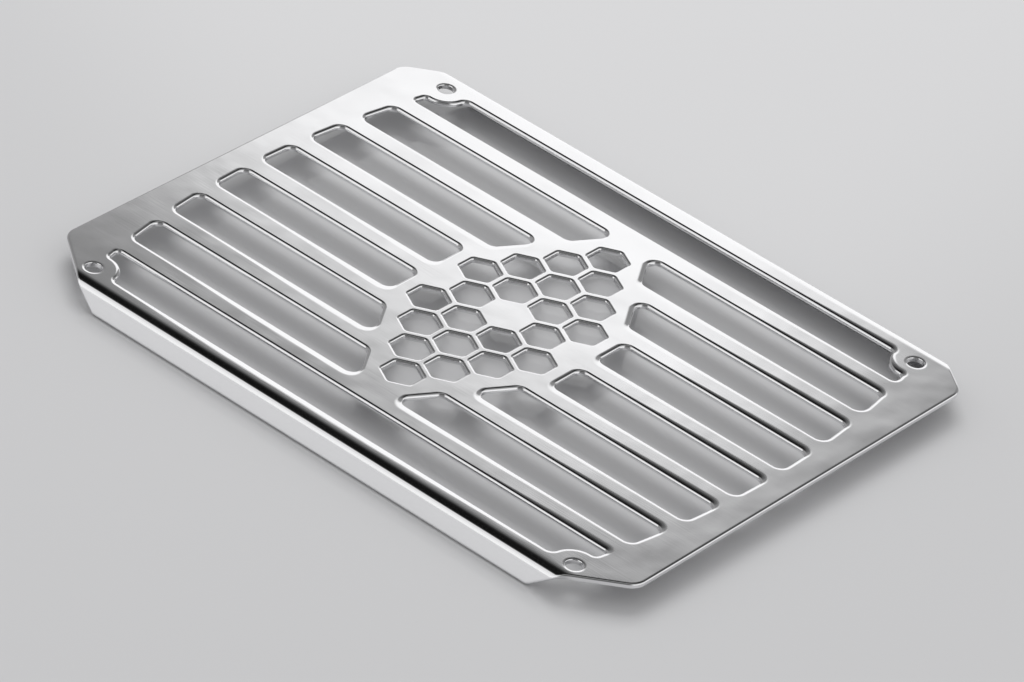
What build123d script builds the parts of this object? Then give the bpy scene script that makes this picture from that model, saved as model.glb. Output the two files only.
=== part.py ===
from build123d import *
import os
from math import cos, radians, sin, tan

# Radiator guard for a motorcycle: one pierced sheet of polished steel, folded down along both long sides.
# X runs along the guard, Y across it from the near fold to the far one, and the feet stand at Z = 0.

# Sheet and folds (millimetres and degrees)
sheet = 2.0                # thickness of the sheet
height = 10.5              # top face over the surface that the feet stand on
fold_angle = 76.0          # how far each flange is turned down out of the flat
fold_radius = 3.0          # inside radius of the folds
edge_break = 0.5           # bevel that polishing leaves on the upper edges

# Bolt holes and the sheet left around them
bolt_spacing_x = 230.0
bolt_spacing_y = 199.0
bolt_hole = 6.5            # diameter, clearance for M6
boss = 9.9                 # radius of the sheet left around a hole where an outer slot passes it
end_land = 22.2            # hole centre to the short edge
fold_land_near = 5.0       # hole centre to the start of the near fold
fold_land_far = 6.8        # hole centre to the start of the far fold
corner_land_near = 6.7     # hole centre to the corner cut, on the near side
corner_land_far = 12.6     # hole centre to the corner cut, on the far side

# Outline
corner_angle = 37.5        # corner cuts, measured from the long edges
corner_radius = 8.0        # where a corner cut meets a short edge

# Slots
slot_rows = 8
bar = 9.8                  # width of the bars between the rows
row_overhang = 0.4         # how far the outermost rows reach past the bolt centres
end_web = 11.5             # sheet beyond the slots in the middle of a short edge
slot_radius = 3.5          # corners of the slots
tongue_reach = 2.6         # how far the narrow tongues under the bosses reach past the bolt centres
tongue_rounding = 0.29     # corners of the tongues, as a share of their width
hollow_radius = 3.0        # where a boss runs into the long edge of its slot

# Honeycomb panel in the middle, with its centre cell left in the sheet
cells_in_row = (1, 2, 3, 4, 3, 4, 3, 2, 1)
cell_web = 3.5             # sheet between two cells
panel_band = 7.0           # sheet between the cells and the slots around them

# Worked out from the sizes above
NEAR = -1
FAR = 1
length = bolt_spacing_x + 2 * end_land
fold_start = {NEAR: bolt_spacing_y / 2 + fold_land_near, FAR: bolt_spacing_y / 2 + fold_land_far}
corner_land = {NEAR: corner_land_near, FAR: corner_land_far}
fold_middle = fold_radius + sheet / 2
fold_run = fold_middle * radians(fold_angle)
flange = (height - sheet - fold_radius + fold_radius * cos(radians(fold_angle))) / sin(radians(fold_angle))
slot_pitch = (bolt_spacing_y + 2 * row_overhang + bar) / slot_rows
slot_width = slot_pitch - bar
last_row = (slot_rows - 1) / 2
tongue = slot_width - row_overhang - boss
tongue_edge = last_row * slot_pitch - slot_width / 2
end_apex = length / 2 - end_web
end_bow = end_apex - bolt_spacing_x / 2 - tongue_reach
end_arc = (tongue_edge ** 2 + end_bow ** 2) / (2 * end_bow)
hexagon = radians(30)      # half the turn from one side of a cell to the next
last_cell_row = (len(cells_in_row) - 1) / 2
cell_reach = (last_row - 1) * slot_pitch + slot_width / 2 - panel_band
cell_pitch = (cell_reach + cell_web * tan(hexagon)) / (last_cell_row * cos(hexagon) + tan(hexagon))
cell_rise = cell_pitch * cos(hexagon)
cell_across = cell_pitch - cell_web
cell_tip = cell_across * tan(hexagon)
fold_sections = 7          # cuts that a fold is lofted through
tiny = 1e-6


def half_length(side, across):
    """Half the length between two corner cuts, at a distance from the centre line of the unfolded sheet."""
    a = radians(corner_angle)
    reach = bolt_spacing_x / 2 * sin(a) + bolt_spacing_y / 2 * cos(a) + corner_land[side]
    return (reach - across * cos(a)) / sin(a)


def flat_middle():
    """The flat of the sheet between the folds, with its corners cut off and its free edges broken."""
    points = []
    for side in (NEAR, FAR):
        at_fold = half_length(side, fold_start[side])
        corner_drop = (length / 2 - at_fold) * tan(radians(corner_angle))
        right = [(length / 2, side * (fold_start[side] - corner_drop)), (at_fold, side * fold_start[side])]
        run = right + [(-x, y) for x, y in reversed(right)]
        points += run if side == NEAR else reversed(run)
    outline = make_face(Polyline(*points, close=True))
    outline = fillet(outline.vertices().filter_by(lambda v: abs(v.X) > length / 2 - tiny), corner_radius)
    plate = extrude(Pos(0, 0, height - sheet) * outline, sheet)
    upper = plate.faces().sort_by(Axis.Z)[-1]
    return chamfer(upper.edges() - upper.edges().filter_by(Axis.X), edge_break)


def across_fold(side, turn):
    """Plane across the sheet where a fold has turned that far, its local Y pointing out of the upper side."""
    t = radians(turn)
    outward = Vector(0, side * sin(t), cos(t))
    axis = Vector(0, side * fold_start[side], height - sheet - fold_radius)
    return Plane(origin=axis + outward * fold_middle, x_dir=(1, 0, 0), z_dir=(0, -cos(t), side * sin(t)))


def fold(side):
    """A fold: the corner cuts and the broken edges carry on round the bend."""
    sections = []
    for step in range(fold_sections):
        turn = fold_angle * step / (fold_sections - 1)
        half = half_length(side, fold_start[side] + fold_middle * radians(turn))
        inset = half - edge_break / sin(radians(corner_angle))
        right = [(half, -sheet / 2), (half, sheet / 2 - edge_break), (inset, sheet / 2)]
        outline = right + [(-x, y) for x, y in reversed(right)]
        sections.append(across_fold(side, turn) * make_face(Polyline(*outline, close=True)))
    return loft([section.face() for section in sections])


def flange_plate(side):
    """The flange below a fold, which narrows to its foot along the corner cuts."""
    root = half_length(side, fold_start[side] + fold_run)
    foot = half_length(side, fold_start[side] + fold_run + flange)
    outline = make_face(Polyline((-root, 0), (root, 0), (foot, -flange), (-foot, -flange), close=True))
    plate = extrude(Pos(0, 0, -sheet / 2) * outline, sheet)
    upper = plate.faces().sort_by(Axis.Z)[-1]
    plate = chamfer(upper.edges().filter_by(lambda e: e.center().Y < -tiny), edge_break)
    lean = across_fold(side, fold_angle)
    return Plane(origin=lean.origin, x_dir=(-side, 0, 0), z_dir=lean.y_dir) * plate


def slot_field():
    """The area between the two arcs that the outer ends of the slots lie on."""
    centre = end_arc - end_apex
    return Pos(-centre, 0) * Circle(end_arc) & Pos(centre, 0) * Circle(end_arc)


def slot_strip(row_y):
    """One row of slots from end to end."""
    return Pos(0, row_y) * Rectangle(length, slot_width) & slot_field()


def panel_outline():
    """The six-sided panel that the inner ends of the slots keep clear of."""
    level = last_cell_row * cell_rise * sin(hexagon) + cell_tip + panel_band
    side = (max(cells_in_row) - 1) / 2 * cell_pitch + cell_across / 2 + panel_band
    shoulder = (level - side * cos(hexagon)) / sin(hexagon)
    peak = level / sin(hexagon)
    right = [(0, -peak), (side, -shoulder), (side, shoulder)]
    return make_face(Polyline(*right, *[(-x, -y) for x, y in right], close=True))


def inner_slots(row_y):
    """The two slots of an inner row, left and right of the panel, with all their corners rounded."""
    halves = (slot_strip(row_y) - panel_outline()).faces()
    return [offset(offset(half, -slot_radius, kind=Kind.INTERSECTION), slot_radius) for half in halves]


def outer_slot(side):
    """A slot along a fold, notched by the bosses of two bolt holes, with a narrow tongue beside each."""
    strip = slot_strip(side * last_row * slot_pitch)
    for end in (-1, 1):
        strip -= Pos(end * bolt_spacing_x / 2, side * bolt_spacing_y / 2) * Circle(boss)
    slot = strip.faces().sort_by(SortBy.AREA)[-1]
    fold_edge = bolt_spacing_y / 2 + row_overhang
    slot = fillet(slot.vertices().filter_by(lambda v: abs(v.Y) > fold_edge - tiny), hollow_radius)
    tips = slot.vertices().filter_by(lambda v: abs(v.X) > bolt_spacing_x / 2)
    return fillet(tips, tongue * tongue_rounding)


def cells():
    """The honeycomb cells, row by row."""
    cell = RegularPolygon(cell_across / 2, 6, major_radius=False, rotation=30)
    placed = []
    for row, count in enumerate(cells_in_row):
        for column in range(count):
            x = (column - (count - 1) / 2) * cell_pitch
            y = (row - last_cell_row) * cell_rise
            if max(abs(x), abs(y)) > tiny:
                placed.append(Pos(x, y) * cell)
    return placed


def bolt_holes():
    """The four clearance holes."""
    return [place * Circle(bolt_hole / 2) for place in GridLocations(bolt_spacing_x, bolt_spacing_y, 2, 2)]


def pierce(blank):
    """Cut every opening through the flat of the sheet and break its upper edges."""
    openings = bolt_holes() + cells() + [outer_slot(NEAR), outer_slot(FAR)]
    for row in range(1, slot_rows - 1):
        openings += inner_slots((row - last_row) * slot_pitch)
    blank -= [extrude(Pos(0, 0, height - sheet) * opening, sheet) for opening in openings]
    upper = blank.faces().sort_by(Axis.Z)[-1]
    return chamfer([edge for wire in upper.inner_wires() for edge in wire.edges()], edge_break)


guard_plate = pierce(flat_middle()) + [fold(NEAR), fold(FAR), flange_plate(NEAR), flange_plate(FAR)]
guard_plate.label = "guard_plate"

os.makedirs("parts", exist_ok=True)
export_step(guard_plate, "parts/guard_plate.step")
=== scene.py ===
from collections import namedtuple
from math import acos, atan, atan2, ceil, cos, hypot, pi, radians, sin, sqrt, tan

import bpy
import numpy as np
from mathutils import Matrix, Vector
from mathutils.geometry import delaunay_2d_cdt


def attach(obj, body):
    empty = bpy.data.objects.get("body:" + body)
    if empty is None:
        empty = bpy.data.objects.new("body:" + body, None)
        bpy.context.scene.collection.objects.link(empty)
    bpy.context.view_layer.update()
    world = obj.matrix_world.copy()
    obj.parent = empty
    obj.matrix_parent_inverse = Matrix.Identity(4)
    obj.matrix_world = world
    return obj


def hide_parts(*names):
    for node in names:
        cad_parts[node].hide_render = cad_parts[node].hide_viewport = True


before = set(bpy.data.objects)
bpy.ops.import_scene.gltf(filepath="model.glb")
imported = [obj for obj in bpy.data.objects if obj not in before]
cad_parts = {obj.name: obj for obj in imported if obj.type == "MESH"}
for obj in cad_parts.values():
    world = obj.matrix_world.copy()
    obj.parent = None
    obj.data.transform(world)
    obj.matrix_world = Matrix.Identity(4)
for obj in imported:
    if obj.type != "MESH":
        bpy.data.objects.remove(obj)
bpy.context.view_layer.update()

# The guard is built again here as a finer skin over the same sheet: the upper edges of its openings are
# rolled over softly, as polishing leaves them, and its bends begin more gently. Sizes are the CAD's, in
# millimetres and degrees. X runs along the guard and Y across it, from the near fold to the far one.
NEAR, FAR = -1, 1
SHEET = 2.0
HEIGHT = 10.5
FOLD_ANGLE = radians(76.0)
FOLD_RADIUS = 3.0
BOLT_X, BOLT_Y = 230.0 / 2, 199.0 / 2    # from the middle to the bolt holes
BOLT_RADIUS = 6.5 / 2
BOSS = 9.9
END_LAND = 22.2
FOLD_LAND = {NEAR: 5.0, FAR: 6.8}
CORNER_LAND = {NEAR: 6.7, FAR: 12.6}
CORNER_ANGLE = radians(37.5)
CORNER_RADIUS = 8.0
SLOT_ROWS = 8
BAR = 9.8
ROW_OVERHANG = 0.4
END_WEB = 11.5
SLOT_RADIUS = 3.5
TONGUE_REACH = 2.6
TONGUE_ROUNDING = 0.29
HOLLOW_RADIUS = 3.0
CELLS_IN_ROW = (1, 2, 3, 4, 3, 4, 3, 2, 1)
CELL_WEB = 3.5
PANEL_BAND = 7.0

# Rounded corners that the skin alone has
FOOT_RADIUS = 3.5          # ends of the feet
CELL_RADIUS = 1.2          # corners of the honeycomb cells

# Worked out from the sizes above
LENGTH = 2 * (BOLT_X + END_LAND)
FOLD_START = {side: BOLT_Y + FOLD_LAND[side] for side in (NEAR, FAR)}
FOLD_MIDDLE = FOLD_RADIUS + SHEET / 2
FLANGE = (HEIGHT - SHEET - FOLD_RADIUS + FOLD_RADIUS * cos(FOLD_ANGLE)) / sin(FOLD_ANGLE)
SLOT_PITCH = (2 * BOLT_Y + 2 * ROW_OVERHANG + BAR) / SLOT_ROWS
SLOT_WIDTH = SLOT_PITCH - BAR
LAST_ROW = (SLOT_ROWS - 1) / 2
TONGUE_EDGE = LAST_ROW * SLOT_PITCH - SLOT_WIDTH / 2
TONGUE_RADIUS = (SLOT_WIDTH - ROW_OVERHANG - BOSS) * TONGUE_ROUNDING
END_APEX = LENGTH / 2 - END_WEB
END_BOW = END_APEX - BOLT_X - TONGUE_REACH
END_ARC = (TONGUE_EDGE ** 2 + END_BOW ** 2) / (2 * END_BOW)
END_CENTRE = (END_APEX - END_ARC, 0.0)
HEXAGON = radians(30)      # half the turn from one side of a cell to the next
LAST_CELL_ROW = (len(CELLS_IN_ROW) - 1) / 2
CELL_REACH = (LAST_ROW - 1) * SLOT_PITCH + SLOT_WIDTH / 2 - PANEL_BAND
CELL_PITCH = (CELL_REACH + CELL_WEB * tan(HEXAGON)) / (LAST_CELL_ROW * cos(HEXAGON) + tan(HEXAGON))
CELL_RISE = CELL_PITCH * cos(HEXAGON)
CELL_ACROSS = CELL_PITCH - CELL_WEB
CELL_TIP = CELL_ACROSS * tan(HEXAGON)

# How each kind of edge is rolled over: width of the roll, its slope where the round of the edge begins, the
# width and the depth of that round, and the power of the distance by which the slope builds up. The long
# edges of the slots are drawn out by the buff: those that face the far side in the middle of the guard, the
# others towards its right end.
Roll = namedtuple("Roll", "width slope round_width round_depth power")
SLOT_ROLL = Roll(2.0, radians(12.0), 1.0, 1.2, 2.0)
FAR_FACING_ROLL = Roll(3.9, radians(6.0), 1.0, 1.2, 1.5)
NEAR_FACING_ROLL = Roll(1.3, radians(6.0), 1.1, 1.7, 2.0)
WIDER_NEAR_FACING_ROLL = Roll(3.6, radians(12.0), 1.0, 1.4, 2.0)
CELL_ROLL = Roll(1.4, radians(14.0), 0.8, 1.3, 2.0)
HOLE_ROLL = Roll(1.4, radians(8.0), 0.4, 0.8, 2.0)
RIM_ROLL = Roll(1.2, radians(16.0), 0.7, 0.7, 2.0)
FAR_FACING_GROWS = (-110.0, -40.0)    # from where to where along the guard the rolls change
FAR_FACING_SHRINKS = (10.0, 120.0)
NEAR_FACING_GROWS = (45.0, 115.0)
BURR_RADIUS = 0.2          # edges of the underside

# How fine the mesh is
ROLL_STEPS = 9
ROUND_STEPS = 8
BURR_STEPS = 3
UNDER_BANDS = 2            # bands of faces in an edge that belong to the underside
ARC_STEP = radians(7)
END_STEPS = 4              # along the arc at the outer end of a slot
EDGE_SPACING = 8.0         # points along the straight edges of the slots
BEND_STEP = 0.25           # lines along a bend
BEND_SAMPLES = 400
LINE_SPACING = 1.0         # points on a line that the bolt holes interrupt
LINE_GAP = 0.3             # from the last of them to the rim
CLEARANCE = 0.1            # between the lines and the openings
TINY = 1e-6
TOLERANCE = 1e-7           # within which points of the flats count as one

# The bends: along the middle of the sheet the turn builds up slowly over BEND_EASE and then runs on at
# BEND_RADIUS. They start where they have to for the flanges to lie where the CAD has them.
BEND_EASE = 3.5
BEND_RADIUS = 2.8
EASE_TURN = BEND_EASE / BEND_RADIUS / 3
BEND_RUN = BEND_EASE + (FOLD_ANGLE - EASE_TURN) * BEND_RADIUS


def bend_turn(s):
    """How far the sheet has turned at a distance along the bend."""
    if s < BEND_EASE:
        return EASE_TURN * (max(s, 0.0) / BEND_EASE) ** 3
    return min(EASE_TURN + (s - BEND_EASE) / BEND_RADIUS, FOLD_ANGLE)


def bend_path():
    """Distances along the bend, and how far out and down the middle of the sheet is at each."""
    along = np.linspace(0, BEND_RUN, BEND_SAMPLES)
    out, drop = [0.0], [0.0]
    for s0, s1 in zip(along, along[1:]):
        turn = bend_turn((s0 + s1) / 2)
        out.append(out[-1] + (s1 - s0) * cos(turn))
        drop.append(drop[-1] + (s1 - s0) * sin(turn))
    return along, out, drop


BEND_AT, BEND_OUT, BEND_DROP = bend_path()
FOLD_REACH = FOLD_MIDDLE * tan(FOLD_ANGLE / 2)
BEND_BEFORE = BEND_OUT[-1] - BEND_DROP[-1] / tan(FOLD_ANGLE) - FOLD_REACH
BEND_START = {side: FOLD_START[side] - BEND_BEFORE for side in (NEAR, FAR)}
FOOT = BEND_RUN + FLANGE + FOLD_REACH - BEND_DROP[-1] / sin(FOLD_ANGLE)


# Outlines, in the unfolded sheet. A loop is a list of (x, y, nx, ny) with the sheet on its right, and n
# points into the sheet.

def arc(centre, radius, start, stop, outward):
    """Points on an arc from one angle to another, with n pointing away from its centre or towards it."""
    steps = max(2, ceil(abs(stop - start) / ARC_STEP))
    sign = 1 if outward else -1
    points = []
    for i in range(steps + 1):
        a = start + (stop - start) * i / steps
        c, s = cos(a), sin(a)
        points.append((centre[0] + radius * c, centre[1] + radius * s, sign * c, sign * s))
    return points


def angle_to(a, b):
    """Direction from one point to another."""
    return atan2(b[1] - a[1], b[0] - a[0])


def after(a, start):
    """The angle a, raised by whole turns until it is past start."""
    while a < start:
        a += 2 * pi
    return a


def clip(polygon, nx, ny, limit):
    """The part of a convex polygon where nx * x + ny * y is at most limit."""
    kept = []
    for (ax, ay), (bx, by) in zip(polygon, polygon[1:] + polygon[:1]):
        da, db = nx * ax + ny * ay - limit, nx * bx + ny * by - limit
        if da <= 0:
            kept.append((ax, ay))
        if (da < 0 < db) or (db < 0 < da):
            t = da / (da - db)
            kept.append((ax + (bx - ax) * t, ay + (by - ay) * t))
    return kept


def rounded(polygon, radius):
    """A hole with a convex outline, given anticlockwise, with all its corners rounded."""
    core = polygon
    for (ax, ay), (bx, by) in zip(polygon, polygon[1:] + polygon[:1]):
        size = hypot(bx - ax, by - ay)
        nx, ny = (by - ay) / size, (ax - bx) / size
        core = clip(core, nx, ny, nx * ax + ny * ay - radius)
    loop = []
    for before, here, ahead in zip(core[-1:] + core[:-1], core, core[1:] + core[:1]):
        start = angle_to(before, here) - pi / 2
        stop = after(angle_to(here, ahead) - pi / 2, start)
        loop += arc(here, radius, start, stop, True)
    return loop


def mirrored(loop, flip_x, flip_y):
    """A loop mirrored in x or y where the flip is -1, still with the sheet on its right."""
    moved = [(flip_x * x, flip_y * y, flip_x * nx, flip_y * ny) for x, y, nx, ny in loop]
    return moved if flip_x * flip_y > 0 else moved[::-1]


def refined(loop):
    """A loop with more points along its straight edges."""
    finer = []
    for here, ahead in zip(loop, loop[1:] + loop[:1]):
        steps = max(1, round(hypot(ahead[0] - here[0], ahead[1] - here[1]) / EDGE_SPACING))
        finer += [tuple(a + (b - a) * i / steps for a, b in zip(here, ahead)) for i in range(steps)]
    return finer


def end_x(y):
    """Where the arc at the right ends of the slots lies."""
    return END_CENTRE[0] + sqrt(END_ARC ** 2 - y ** 2)


def inner_slots():
    """The slots left and right of the panel."""
    level = LAST_CELL_ROW * CELL_RISE * sin(HEXAGON) + CELL_TIP + PANEL_BAND
    side = (max(CELLS_IN_ROW) - 1) / 2 * CELL_PITCH + CELL_ACROSS / 2 + PANEL_BAND
    shoulder = (level - side * cos(HEXAGON)) / sin(HEXAGON)
    loops = []
    for row in range(SLOT_ROWS // 2 - 1):
        low = (row + 0.5) * SLOT_PITCH - SLOT_WIDTH / 2
        high = low + SLOT_WIDTH
        heights = [low + SLOT_WIDTH * i / END_STEPS for i in range(END_STEPS + 1)]
        slot = [(0.0, low)] + [(end_x(y), y) for y in heights] + [(0.0, high)]
        if low < shoulder:
            slot = clip(slot, -1, 0, -side)
        else:
            slot = clip(slot, -cos(HEXAGON), -sin(HEXAGON), -level)
        loop = rounded(slot, SLOT_RADIUS)
        loops += [mirrored(loop, fx, fy) for fx in (1, -1) for fy in (1, -1)]
    return loops


def outer_slots():
    """The slots along the folds, notched by the bosses of the bolt holes."""
    bolt = (BOLT_X, BOLT_Y)
    inside = END_ARC - TONGUE_RADIUS
    low_y = TONGUE_EDGE + TONGUE_RADIUS
    low_tip = (END_CENTRE[0] + sqrt(inside ** 2 - low_y ** 2), low_y)
    apart = hypot(bolt[0] - END_CENTRE[0], bolt[1] - END_CENTRE[1])
    turn = acos((apart ** 2 + inside ** 2 - (BOSS + TONGUE_RADIUS) ** 2) / (2 * apart * inside))
    bearing = angle_to(END_CENTRE, bolt) - turn
    high_tip = (END_CENTRE[0] + inside * cos(bearing), END_CENTRE[1] + inside * sin(bearing))
    hollow_y = BOLT_Y + ROW_OVERHANG - HOLLOW_RADIUS
    hollow = (BOLT_X - sqrt((BOSS + HOLLOW_RADIUS) ** 2 - (hollow_y - BOLT_Y) ** 2), hollow_y)
    right = arc(low_tip, TONGUE_RADIUS, -pi / 2, angle_to(END_CENTRE, low_tip), True)
    right += arc(high_tip, TONGUE_RADIUS, angle_to(END_CENTRE, high_tip), angle_to(high_tip, bolt), True)
    right += arc(bolt, BOSS, angle_to(bolt, high_tip), angle_to(bolt, hollow), False)[1:-1]
    right += arc(hollow, HOLLOW_RADIUS, angle_to(hollow, bolt), pi / 2, True)
    loop = right + mirrored(right, -1, 1)
    return [loop, mirrored(loop, 1, -1)]


def cells():
    """The honeycomb cells, with the one in the middle left out."""
    size = CELL_ACROSS / 2 / cos(HEXAGON)
    hexagon = [(size * cos(HEXAGON + i * pi / 3), size * sin(HEXAGON + i * pi / 3)) for i in range(6)]
    cell = rounded(hexagon, CELL_RADIUS)
    loops = []
    for row, count in enumerate(CELLS_IN_ROW):
        for column in range(count):
            x = (column - (count - 1) / 2) * CELL_PITCH
            y = (row - LAST_CELL_ROW) * CELL_RISE
            if hypot(x, y) > CELL_WEB:
                loops.append([(px + x, py + y, nx, ny) for px, py, nx, ny in cell])
    return loops


def bolt_holes():
    """The four clearance holes."""
    hole = arc((BOLT_X, BOLT_Y), BOLT_RADIUS, 0, 2 * pi, True)[:-1]
    return [mirrored(hole, fx, fy) for fx in (1, -1) for fy in (1, -1)]


def half_length(side, across):
    """Half the length between two corner cuts, at a distance from the centre line of the unfolded sheet."""
    reach = BOLT_X * sin(CORNER_ANGLE) + BOLT_Y * cos(CORNER_ANGLE) + CORNER_LAND[side]
    return (reach - across * cos(CORNER_ANGLE)) / sin(CORNER_ANGLE)


def rim_corner(side):
    """The outline of one right-hand corner, from the foot of the flange to the short edge."""
    foot = BEND_START[side] + FOOT
    cut = (sin(CORNER_ANGLE), cos(CORNER_ANGLE))
    foot_x = half_length(side, foot) - tan(CORNER_ANGLE / 2) * FOOT_RADIUS
    points = arc((foot_x, foot - FOOT_RADIUS), FOOT_RADIUS, pi / 2, pi / 2 - CORNER_ANGLE, False)
    # Points every BEND_STEP along the bend, placed so that the line where the roll meets the flat has its
    # points at the same places on the left and on the right
    shift = RIM_ROLL.width * cut[1]
    rows = round(BEND_RUN / BEND_STEP)
    for i in range(rows, -ceil(shift / BEND_STEP) - 1, -1):
        y = BEND_START[side] + BEND_RUN * i / rows + shift
        points.append((half_length(side, y), y, -cut[0], -cut[1]))
    lean = tan((pi / 2 - CORNER_ANGLE) / 2) * CORNER_RADIUS
    corner_y = FOLD_START[side] - (LENGTH / 2 - half_length(side, FOLD_START[side])) * tan(CORNER_ANGLE)
    centre = (LENGTH / 2 - CORNER_RADIUS, corner_y - lean)
    return points + arc(centre, CORNER_RADIUS, pi / 2 - CORNER_ANGLE, 0, False)


def rim():
    """The outline of the unfolded sheet, clockwise."""
    right = rim_corner(FAR) + mirrored(rim_corner(NEAR), 1, -1)
    return right + mirrored(right, -1, 1)


# Edges. Every loop carries a section round the edge of the sheet, from the top face to the underside.

def section(roll):
    """Points (d, w, nd, nw) round an edge: d into the sheet, w over its middle, n for the normal."""
    top = SHEET / 2
    begin = atan(tan(roll.slope) * roll.round_width / roll.round_depth)
    span = roll.width - roll.round_width * (1 - sin(begin))
    drop = tan(roll.slope) * span / (roll.power + 1)
    points = []
    for i in range(ROLL_STEPS):
        u = i / ROLL_STEPS
        slope = tan(roll.slope) * u ** roll.power
        size = hypot(1, slope)
        points.append((roll.width - span * u, top - drop * u ** (roll.power + 1), -slope / size, 1 / size))
    for i in range(ROUND_STEPS + 1):
        a = begin + (pi / 2 - begin) * i / ROUND_STEPS
        d = roll.round_width * (1 - sin(a))
        w = top - drop - roll.round_depth * (cos(begin) - cos(a))
        nd, nw = -roll.round_depth * sin(a), roll.round_width * cos(a)
        size = hypot(nd, nw)
        points.append((d, w, nd / size, nw / size))
    for i in range(BURR_STEPS + 1):
        a = pi / 2 * i / BURR_STEPS
        points.append((BURR_RADIUS * (1 - cos(a)), -top + BURR_RADIUS * (1 - sin(a)), -cos(a), -sin(a)))
    points.append((roll.width, -top, 0.0, -1.0))
    return points


def eased(value, start, stop):
    """A smooth step from 0 at start to 1 at stop."""
    share = min(max((value - start) / (stop - start), 0.0), 1.0)
    return share ** 2 * (3 - 2 * share)


def between(roll, other, share):
    """A roll some way from one kind to another."""
    return Roll(*[a + (b - a) * share for a, b in zip(roll, other)])


def slot_roll(x, ny):
    """How the edge of a slot is rolled over, by its place along the guard and the way it faces."""
    if ny > 0:
        long_edge = between(NEAR_FACING_ROLL, WIDER_NEAR_FACING_ROLL, eased(x, *NEAR_FACING_GROWS))
    else:
        wide = eased(x, *FAR_FACING_GROWS) * (1 - eased(x, *FAR_FACING_SHRINKS))
        long_edge = between(SLOT_ROLL, FAR_FACING_ROLL, wide)
    return between(SLOT_ROLL, long_edge, eased(abs(ny), 0, 1))


# The skin

def folded(x, y, w, nx, ny, nw):
    """A point of the unfolded sheet and its normal, folded into place, in millimetres."""
    side = FAR if y > 0 else NEAR
    along = abs(y) - BEND_START[side]
    out, up = abs(y), HEIGHT - SHEET / 2
    turn = bend_turn(along)
    c, s = cos(turn), sin(turn)
    if along > 0:
        past = max(along - BEND_RUN, 0.0)
        out = BEND_START[side] + np.interp(along, BEND_AT, BEND_OUT) + past * c
        up -= np.interp(along, BEND_AT, BEND_DROP) + past * s
    n_out, n_up = side * ny * c + nw * s, -side * ny * s + nw * c
    return (x, side * (out + w * s), up + w * c), (nx, side * n_out, n_up)


def in_sheet(points, rings):
    """Which points lie in the sheet, by counting the edges of the rings to the right of each."""
    px, py = points[:, 0], points[:, 1]
    odd = np.zeros(len(points), bool)
    for ring in rings:
        for (ax, ay), (bx, by) in zip(ring, np.roll(ring, -1, axis=0)):
            if ay != by:
                crosses = (ay > py) != (by > py)
                odd ^= crosses & (px < ax + (py - ay) * (bx - ax) / (by - ay))
    return odd


def bend_lines(outline):
    """Lines along the bends, as pairs of points of the outline, and more points where no line can run.

    A line joins the points that the outline has on the left and on the right. Where it would run into the
    bolt holes or a slot, there are points on it beyond the holes alone.
    """
    lines, extra = [], []
    hole = BOLT_RADIUS + HOLE_ROLL.width + CLEARANCE
    slot = ROW_OVERHANG + FAR_FACING_ROLL.width + CLEARANCE
    clear = BOLT_Y + max(hole, slot)
    for side in (NEAR, FAR):
        across = side * outline[:, 1]
        in_bend = (across > BEND_START[side] - TINY) & (across < BEND_START[side] + BEND_RUN + TINY)
        for i in np.flatnonzero(in_bend & (outline[:, 0] > 0)):
            reach, y = outline[i]
            if across[i] > clear:
                twin = np.argmin(np.hypot(outline[:, 0] + reach, outline[:, 1] - y))
                lines.append((int(i), int(twin)))
            else:
                run = np.arange(BOLT_X + hole, reach - LINE_GAP, LINE_SPACING)
                extra += [(end * x, y) for x in run for end in (-1, 1)]
    return lines, extra


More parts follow.
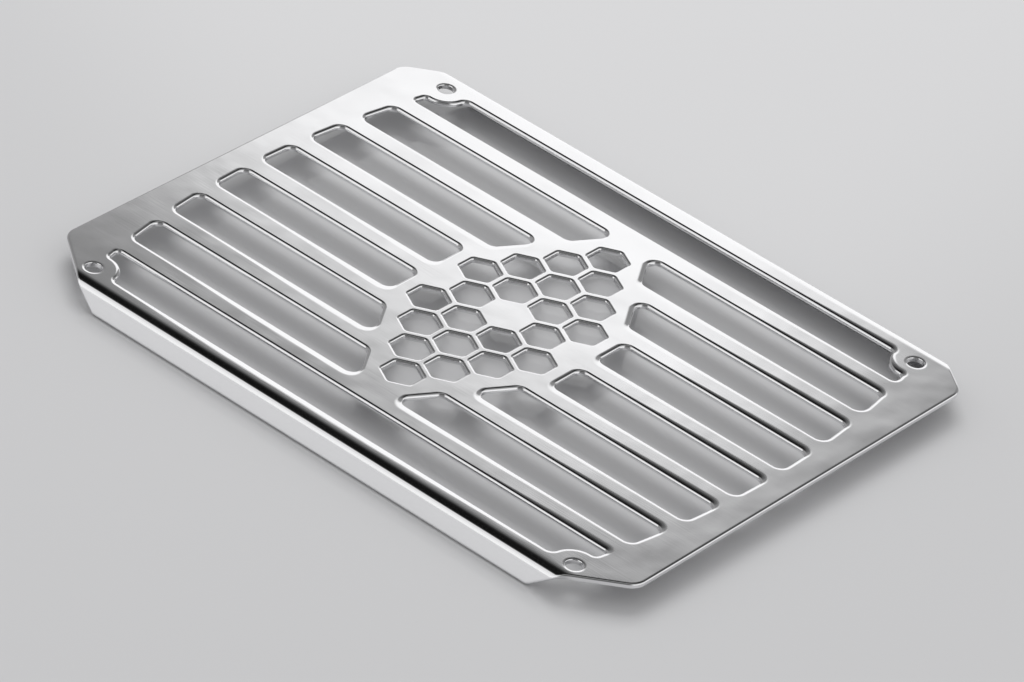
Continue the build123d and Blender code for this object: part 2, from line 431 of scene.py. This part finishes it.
class Skin:
    """The mesh of the sheet as it is made: folded points with their normals, and faces."""

    def __init__(self):
        self.places, self.normals = [], []
        self.faces, self.under = [], []
        self.rings = []        # for each loop, the line in the unfolded sheet where its roll meets the flat
        self.top, self.low = [], []    # numbers of the points on the flats, above and below

    def point(self, x, y, w, nx, ny, nw):
        """Add a point of the unfolded sheet, and give its number."""
        place, normal = folded(x, y, w, nx, ny, nw)
        self.places.append(place)
        self.normals.append(normal)
        return len(self.places) - 1

    def face(self, corners, under):
        """Add a face, of the polished side or of the underside."""
        self.faces.append(corners)
        self.under.append(under)

    def add_edge(self, loop, rolls):
        """The edge of the sheet along a loop, with a roll for each of its points."""
        sections, ring = [], []
        for (x, y, nx, ny), roll in zip(loop, rolls):
            ring.append((x + nx * roll.width, y + ny * roll.width))
            sections.append([self.point(x + nx * d, y + ny * d, w, nx * nd, ny * nd, nw)
                             for d, w, nd, nw in section(roll)])
        bands = len(sections[0]) - 1
        for here, ahead in zip(sections, sections[1:] + sections[:1]):
            for k in range(bands):
                self.face((here[k], ahead[k], ahead[k + 1], here[k + 1]), k >= bands - UNDER_BANDS)
        self.rings.append(np.array(ring))
        self.top += [numbers[0] for numbers in sections]
        self.low += [numbers[-1] for numbers in sections]

    def add_flats(self):
        """The flats between the edges, above and below. The rim has to be the last edge that was added."""
        edges, first = [], 0
        for ring in self.rings:
            count = len(ring)
            edges += [(first + i, first + (i + 1) % count) for i in range(count)]
            first += count
        rim_first = first - len(self.rings[-1])
        lines, extra = bend_lines(self.rings[-1])
        edges += [(rim_first + a, rim_first + b) for a, b in lines]
        for x, y in extra:
            self.top.append(self.point(x, y, SHEET / 2, 0.0, 0.0, 1.0))
            self.low.append(self.point(x, y, -SHEET / 2, 0.0, 0.0, -1.0))
        corners = np.concatenate(self.rings + [np.array(extra).reshape(-1, 2)])
        found = delaunay_2d_cdt([Vector(c) for c in corners], edges, [], 0, TOLERANCE)
        found_faces, found_origins = found[2], found[3]
        triangles = np.array([[found_origins[v][0] for v in face] for face in found_faces])
        middles = corners[triangles].mean(axis=1)
        for a, b, c in triangles[in_sheet(middles, self.rings)]:
            self.face((self.top[a], self.top[b], self.top[c]), False)
            self.face((self.low[c], self.low[b], self.low[a]), True)

    def mesh(self):
        """The finished mesh, in metres, with its true normals."""
        mesh = bpy.data.meshes.new("guard_skin")
        mesh.from_pydata([Vector(p) / 1000 for p in self.places], [], self.faces)
        mesh.polygons.foreach_set("use_smooth", [True] * len(self.faces))
        mesh.polygons.foreach_set("material_index", [int(u) for u in self.under])
        mesh.normals_split_custom_set_from_vertices(self.normals)
        return mesh


def guard_mesh():
    """The whole skin as one closed mesh."""
    skin = Skin()
    for loop in inner_slots() + outer_slots():
        finer = refined(loop)
        skin.add_edge(finer, [slot_roll(x, ny) for x, y, nx, ny in finer])
    for loops, roll in ((cells(), CELL_ROLL), (bolt_holes(), HOLE_ROLL), ([rim()], RIM_ROLL)):
        for loop in loops:
            skin.add_edge(loop, [roll] * len(loop))
    skin.add_flats()
    return skin.mesh()


guard = bpy.data.objects.new("guard_plate_skin", guard_mesh())
bpy.context.scene.collection.objects.link(guard)
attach(guard, "root")
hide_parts("guard_plate")


class Nodes:
    """The node tree of a material or a world, with short ways to add to it."""

    def __init__(self, owner):
        owner.use_nodes = True
        self.tree = owner.node_tree

    def feed(self, made, **inputs):
        """Set inputs of a node, or link them where the value is a node or an output of one.

        An input goes by its name, with _ for a space, or by its number, as in _0.
        """
        for key, value in inputs.items():
            socket = made.inputs[int(key[1:]) if key[1:].isdigit() else key.replace("_", " ")]
            if isinstance(value, bpy.types.Node):
                value = value.outputs[0]
            if isinstance(value, bpy.types.NodeSocket):
                self.tree.links.new(value, socket)
            else:
                socket.default_value = value

    def add(self, kind, settings=(), **inputs):
        """A new node."""
        made = self.tree.nodes.new(kind)
        for name, value in dict(settings).items():
            setattr(made, name, value)
        self.feed(made, **inputs)
        return made

    def calc(self, operation, a, b=0.0):
        """A Math node."""
        return self.add("ShaderNodeMath", {"operation": operation}, _0=a, _1=b)

    def soft(self, value, border):
        """A soft border: 0 where the value is at the first limit, 1 where it is at the second."""
        dark, bright = border
        smooth = {"interpolation_type": "SMOOTHSTEP"}
        return self.add("ShaderNodeMapRange", smooth, Value=value, From_Min=dark, From_Max=bright)

    def spread(self, noise, limits):
        """A noise, stretched out between two limits."""
        start, stop = NOISE_RANGE
        low, high = limits
        return self.add("ShaderNodeMapRange", Value=noise, From_Min=start, From_Max=stop,
                        To_Min=low, To_Max=high)


# Materials
NOISE_RANGE = (0.3, 0.7)   # where nearly all of a noise lies
POLISHED_COLOUR = (0.80, 0.80, 0.81, 1)
POLISHED_ROUGHNESS = (0.05, 0.10)
WAVE_DEPTH = 0.00005       # depths in metres
BUFF_DEPTH = 0.000002
MILL_COLOUR = (0.62, 0.62, 0.63, 1)
MILL_ROUGHNESS = (0.26, 0.40)
GRAIN_DEPTH = 0.000008
FLOOR_COLOUR = (0.66, 0.66, 0.67, 1)
FLOOR_ROUGHNESS = 0.08


def polished_steel():
    """Stainless steel polished to a mirror, with the slight waves and haze of a hand-held buff."""
    material = bpy.data.materials.new("polished_steel")
    nodes = Nodes(material)
    place = nodes.add("ShaderNodeTexCoord").outputs["Object"]
    waves = nodes.add("ShaderNodeTexNoise", Vector=place, Scale=55.0, Detail=1.5, Roughness=0.4)
    along = nodes.add("ShaderNodeMapping", Vector=place, Scale=(60.0, 1800.0, 1800.0))
    lines = nodes.add("ShaderNodeTexNoise", Vector=along, Scale=1.0, Detail=2.0)
    haze = nodes.add("ShaderNodeTexNoise", Vector=place, Scale=30.0, Detail=4.0, Roughness=0.6)
    rough = nodes.spread(haze, POLISHED_ROUGHNESS)
    wavy = nodes.add("ShaderNodeBump", Height=waves, Strength=1.0, Distance=WAVE_DEPTH)
    buffed = nodes.add("ShaderNodeBump", Height=lines, Strength=1.0, Distance=BUFF_DEPTH, Normal=wavy)
    shader = nodes.tree.nodes["Principled BSDF"]
    nodes.feed(shader, Base_Color=POLISHED_COLOUR, Metallic=1.0, Roughness=rough, Normal=buffed)
    return material


def mill_steel():
    """The underside, left as it came from the mill."""
    material = bpy.data.materials.new("mill_steel")
    nodes = Nodes(material)
    place = nodes.add("ShaderNodeTexCoord").outputs["Object"]
    along = nodes.add("ShaderNodeMapping", Vector=place, Scale=(80.0, 2500.0, 2500.0))
    lines = nodes.add("ShaderNodeTexNoise", Vector=along, Scale=1.0, Detail=3.0)
    rough = nodes.spread(lines, MILL_ROUGHNESS)
    grain = nodes.add("ShaderNodeBump", Height=lines, Strength=1.0, Distance=GRAIN_DEPTH)
    shader = nodes.tree.nodes["Principled BSDF"]
    nodes.feed(shader, Base_Color=MILL_COLOUR, Metallic=1.0, Roughness=rough, Normal=grain)
    return material


def floor_acrylic():
    """The pale, slightly glossy floor."""
    material = bpy.data.materials.new("floor_acrylic")
    nodes = Nodes(material)
    shader = nodes.tree.nodes["Principled BSDF"]
    nodes.feed(shader, Base_Color=FLOOR_COLOUR, Roughness=FLOOR_ROUGHNESS)
    return material


guard.data.materials.append(polished_steel())
guard.data.materials.append(mill_steel())

# Floor
FLOOR_SIZE = 16
bpy.ops.mesh.primitive_plane_add(size=FLOOR_SIZE)
floor = bpy.context.object
floor.name = "floor"
floor.data.materials.append(floor_acrylic())

# Camera, from the fit to the photo's four bolt holes and straight edges
AZIMUTH, ELEVATION, TILT = radians(34.43), radians(33.77), radians(10.18)
CAMERA_PLACE = Vector((1.16779, -1.69747, 1.37741))
SENSOR_WIDTH = 36
LENS = 237.5
VIEW_DISTANCE = 100
back = Vector((sin(AZIMUTH) * cos(ELEVATION), -cos(AZIMUTH) * cos(ELEVATION), sin(ELEVATION)))
right = Vector((cos(AZIMUTH), sin(AZIMUTH), 0))
up = back.cross(right)
turn = Matrix((right * cos(TILT) + up * sin(TILT), up * cos(TILT) - right * sin(TILT), back)).transposed()
camera = bpy.data.objects.new("camera", bpy.data.cameras.new("camera"))
camera.data.sensor_width = SENSOR_WIDTH
camera.data.lens = LENS
camera.data.clip_end = VIEW_DISTANCE
camera.matrix_world = Matrix.Translation(CAMERA_PLACE) @ turn.to_4x4()
bpy.context.scene.collection.objects.link(camera)
bpy.context.scene.camera = camera
bpy.context.scene.view_settings.view_transform = "Standard"

# Light: an even glow for every matt surface, a soft lamp over the far left, and for reflections a studio
# with a soft panel at the back that the top face mirrors, pale walls in front and to the right, a dark
# ceiling over the back left, and a darker side behind the camera.
MATT_GLOW = 0.65
BACKDROP_COLOUR = (0.62, 0.62, 0.63, 1)
LAMP_SIZE = 1.6
LAMP_POWER = 22
LAMP_PLACE = Vector((-0.9, 0.9, 2.0))

# Brightness of the studio by the height over the horizon, as pairs of degrees and brightness
BACK_LEFT = ((-10, 0.5), (4, 0.35), (30, 0.32), (35, 0.26), (40, 0.13), (46, 0.045), (52, 0.012),
             (60, 0.006), (66, 0.01), (76, 0.25), (90, 0.33))
ELSEWHERE = ((-10, 0.7), (0, 0.6), (35, 0.45), (60, 0.30), (90, 0.33))
WALLS = ((-10, 1.1), (10, 1.1), (45, 0.85), (90, 0.3))
PANEL_GLOW = 1.2
CAMERA_SIDE_SHADE = 0.8

# Borders of the studio's areas, each from where the area is out to where it is full. Those named BORDER are
# cosines of the angle from a bearing, and the others are degrees.
BACK_LEFT_BEARING = radians(55)    # to the left of straight back
BACK_LEFT_BORDER = (-0.15, 0.2)
WALL_TOP = (41.0, 33.0)
WALL_TOP_DIP = 14.0                # how much lower the walls are at the back than at the sides
WALL_BORDER = (0.45, 0.15)
PANEL_TOP = (54.8, 50.8)
PANEL_TOP_SLOPE = 0.52             # its top falls towards the left
PANEL_RIGHT = (-5.4, -0.2)
PANEL_LEFT = (52.5, 46.5)
PANEL_LEFT_SLOPE = 0.3             # its left side leans to the right
CAMERA_SIDE_BORDER = (0.75, 0.95)
CAMERA_SIDE_TOP = (80.0, 60.0)


def by_height(nodes, height, stops):
    """A brightness that changes with the height, on a ramp from straight down to straight up."""
    share = nodes.calc("MULTIPLY", nodes.calc("ADD", height, 90.0), 1 / 180)
    ramp = nodes.add("ShaderNodeValToRGB", Fac=share)
    ramp.color_ramp.interpolation = "EASE"
    while len(ramp.color_ramp.elements) < len(stops):
        ramp.color_ramp.elements.new(0.5)
    for element, (at, glow) in zip(ramp.color_ramp.elements, stops):
        element.position = (at + 90) / 180
        element.color = (glow, glow, glow, 1)
    return ramp


def studio_glow(nodes):
    """How bright the studio is that the polished steel mirrors."""
    calc, soft = nodes.calc, nodes.soft
    view = nodes.add("ShaderNodeTexCoord").outputs["Generated"]
    towards = nodes.add("ShaderNodeSeparateXYZ", Vector=view).outputs
    bearing = calc("ARCTAN2", calc("MULTIPLY", towards["X"], -1.0), towards["Y"])
    left = calc("DEGREES", bearing)
    height = calc("DEGREES", calc("ARCSINE", towards["Z"]))

    back_left = calc("COSINE", calc("SUBTRACT", bearing, BACK_LEFT_BEARING))
    ceiling = nodes.add("ShaderNodeMix", _0=soft(back_left, BACK_LEFT_BORDER),
                        _2=by_height(nodes, height, ELSEWHERE), _3=by_height(nodes, height, BACK_LEFT))

    wall_height = calc("ADD", height, calc("MULTIPLY", towards["Y"], WALL_TOP_DIP))
    walls = calc("MULTIPLY", soft(wall_height, WALL_TOP), soft(back_left, WALL_BORDER))
    glow = calc("MAXIMUM", ceiling, calc("MULTIPLY", walls, by_height(nodes, height, WALLS)))

    panel_top = soft(calc("ADD", height, calc("MULTIPLY", left, PANEL_TOP_SLOPE)), PANEL_TOP)
    panel_right = soft(calc("SUBTRACT", left, height), PANEL_RIGHT)
    panel_left = soft(calc("ADD", left, calc("MULTIPLY", height, PANEL_LEFT_SLOPE)), PANEL_LEFT)
    panel = calc("MULTIPLY", calc("MULTIPLY", panel_top, panel_right), panel_left)
    glow = calc("MAXIMUM", glow, calc("MULTIPLY", panel, PANEL_GLOW))

    behind_camera = calc("COSINE", calc("ADD", bearing, pi - AZIMUTH))
    camera_side = calc("MULTIPLY", soft(behind_camera, CAMERA_SIDE_BORDER), soft(height, CAMERA_SIDE_TOP))
    return calc("MULTIPLY", glow, calc("SUBTRACT", 1.0, calc("MULTIPLY", camera_side, CAMERA_SIDE_SHADE)))


def studio_world():
    """The world: the studio for reflections, an even glow for matt surfaces, and a pale backdrop."""
    world = bpy.data.worlds.new("studio")
    nodes = Nodes(world)
    nodes.tree.nodes.clear()
    path = nodes.add("ShaderNodeLightPath").outputs
    even = nodes.add("ShaderNodeBackground", Color=(1, 1, 1, 1), Strength=MATT_GLOW)
    studio = nodes.add("ShaderNodeBackground", Color=(1, 1, 1, 1), Strength=studio_glow(nodes))
    backdrop = nodes.add("ShaderNodeBackground", Color=BACKDROP_COLOUR, Strength=1.0)
    lit = nodes.add("ShaderNodeMixShader", _0=path["Is Glossy Ray"], _1=even, _2=studio)
    seen = nodes.add("ShaderNodeMixShader", _0=path["Is Camera Ray"], _1=lit, _2=backdrop)
    nodes.add("ShaderNodeOutputWorld", Surface=seen)
    return world


bpy.context.scene.world = studio_world()

lamp = bpy.data.objects.new("lamp", bpy.data.lights.new("lamp", "AREA"))
lamp.data.size = LAMP_SIZE
lamp.data.energy = LAMP_POWER
lamp.location = LAMP_PLACE
lamp.rotation_euler = LAMP_PLACE.to_track_quat("Z", "Y").to_euler()
lamp.visible_glossy = False
lamp.visible_camera = False
bpy.context.scene.collection.objects.link(lamp)
